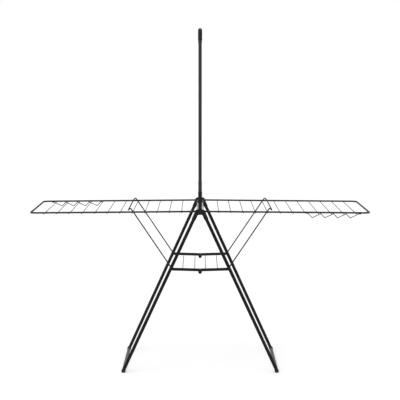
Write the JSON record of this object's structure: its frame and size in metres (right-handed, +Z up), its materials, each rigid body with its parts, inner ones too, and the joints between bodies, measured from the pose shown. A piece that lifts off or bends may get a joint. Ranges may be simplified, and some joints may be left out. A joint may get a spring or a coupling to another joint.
{
  "type": "folding clothes airer",
  "caption": "Free-standing folding clothes airer with an A-frame, two drying wings held up by wire struts, a wire shelf between the legs and a tall garment rod.",
  "frame": {"origin": "on the floor, below the middle of the object", "axes": "+X along the wings to the right, +Y from the front hub to the rear hub, +Z up"},
  "size_m": [1.9398, 0.6472, 1.973],
  "materials": {
    "black_tube": "satin black powder coat",
    "grey_tube": "satin dark grey powder coat",
    "wire": "satin dark grey epoxy coat over steel wire",
    "plastic": "moulded black plastic, fine texture",
    "steel": "zinc-plated rod"
  },
  "bodies": {
    "base": {"front_hub": "plastic", "rear_hub": "plastic", "front_pole": "grey_tube", "rear_pole": "grey_tube", "top_rail": "grey_tube", "front_elbow": "plastic", "rear_elbow": "plastic", "left_hinge_rod": "steel", "right_hinge_rod": "steel"},
    "left_leg_frame": {"left_front_leg": "black_tube", "left_rear_leg": "black_tube", "left_front_socket": "plastic", "left_rear_socket": "plastic", "left_front_foot": "plastic", "left_rear_foot": "plastic", "left_floor_tube": "grey_tube"},
    "left_wing": {"left_wing_frame": "grey_tube", "left_wire_01": "wire", "left_wire_02": "wire", "left_wire_03": "wire", "left_wire_04": "wire", "left_wire_05": "wire", "left_wire_06": "wire", "left_wire_07": "wire", "left_wire_08": "wire", "left_wire_09": "wire", "left_wire_10": "wire", "left_wire_11": "wire", "left_wire_12": "wire"},
    "left_strut": {"left_strut": "wire"},
    "left_spreader": {"left_spreader_front": "black_tube", "left_spreader_rear": "black_tube", "left_spreader_wire_inner": "wire", "left_spreader_wire_outer": "wire"},
    "right_leg_frame": {"right_front_leg": "black_tube", "right_rear_leg": "black_tube", "right_front_socket": "plastic", "right_rear_socket": "plastic", "right_front_foot": "plastic", "right_rear_foot": "plastic", "right_floor_tube": "grey_tube"},
    "right_wing": {"right_wing_frame": "grey_tube", "right_wire_01": "wire", "right_wire_02": "wire", "right_wire_03": "wire", "right_wire_04": "wire", "right_wire_05": "wire", "right_wire_06": "wire", "right_wire_07": "wire", "right_wire_08": "wire", "right_wire_09": "wire", "right_wire_10": "wire", "right_wire_11": "wire", "right_wire_12": "wire"},
    "right_strut": {"right_strut": "wire"},
    "right_spreader": {"right_spreader_front": "black_tube", "right_spreader_rear": "black_tube", "right_spreader_wire_inner": "wire", "right_spreader_wire_outer": "wire"}
  },
  "joints": [
    {"name": "left_leg_hinge", "type": "hinge", "parent": "base", "child": "left_leg_frame", "pos_m": [-0.017, 0, 0.943], "axis": [0, -1, 0], "range_deg": [0, 21]},
    {"name": "left_wing_hinge", "type": "hinge", "parent": "left_leg_frame", "child": "left_wing", "pos_m": [-0.017, 0, 0.943], "axis": [0, -1, 0], "range_deg": [0, 60]},
    {"name": "left_strut_hinge", "type": "hinge", "parent": "left_wing", "child": "left_strut", "pos_m": [-0.38512, 0, 0.93259], "axis": [0, 1, 0], "range_deg": [0, 119.1]},
    {"name": "right_leg_hinge", "type": "hinge", "parent": "base", "child": "right_leg_frame", "pos_m": [0.017, 0, 0.943], "axis": [0, 1, 0], "range_deg": [0, 21]},
    {"name": "right_wing_hinge", "type": "hinge", "parent": "right_leg_frame", "child": "right_wing", "pos_m": [0.017, 0, 0.943], "axis": [0, 1, 0], "range_deg": [0, 60]},
    {"name": "right_strut_hinge", "type": "hinge", "parent": "right_wing", "child": "right_strut", "pos_m": [0.38512, 0, 0.93259], "axis": [0, -1, 0], "range_deg": [0, 119.1]},
    {"name": "left_spreader_hinge", "type": "hinge", "parent": "left_leg_frame", "child": "left_spreader", "pos_m": [-0.16657, 0, 0.61631], "axis": [0, -1, 0], "range_deg": [0, 64.2]},
    {"name": "spreader_knee", "type": "hinge", "parent": "left_spreader", "child": "right_spreader", "pos_m": [0, 0, 0.592], "axis": [0, 1, 0], "range_deg": [0, 170.4]}
  ],
  "couplings": [
    {"joint": "right_leg_hinge", "follows": "left_leg_hinge", "ratio": 1},
    {"joint": "left_spreader_hinge", "follows": "left_leg_hinge", "ratio": 3.0339},
    {"joint": "spreader_knee", "follows": "left_leg_hinge", "ratio": 8.0678},
    {"joint": "left_strut_hinge", "follows": "left_wing_hinge", "ratio": 1.9833},
    {"joint": "right_strut_hinge", "follows": "right_wing_hinge", "ratio": 1.9833}
  ]
}
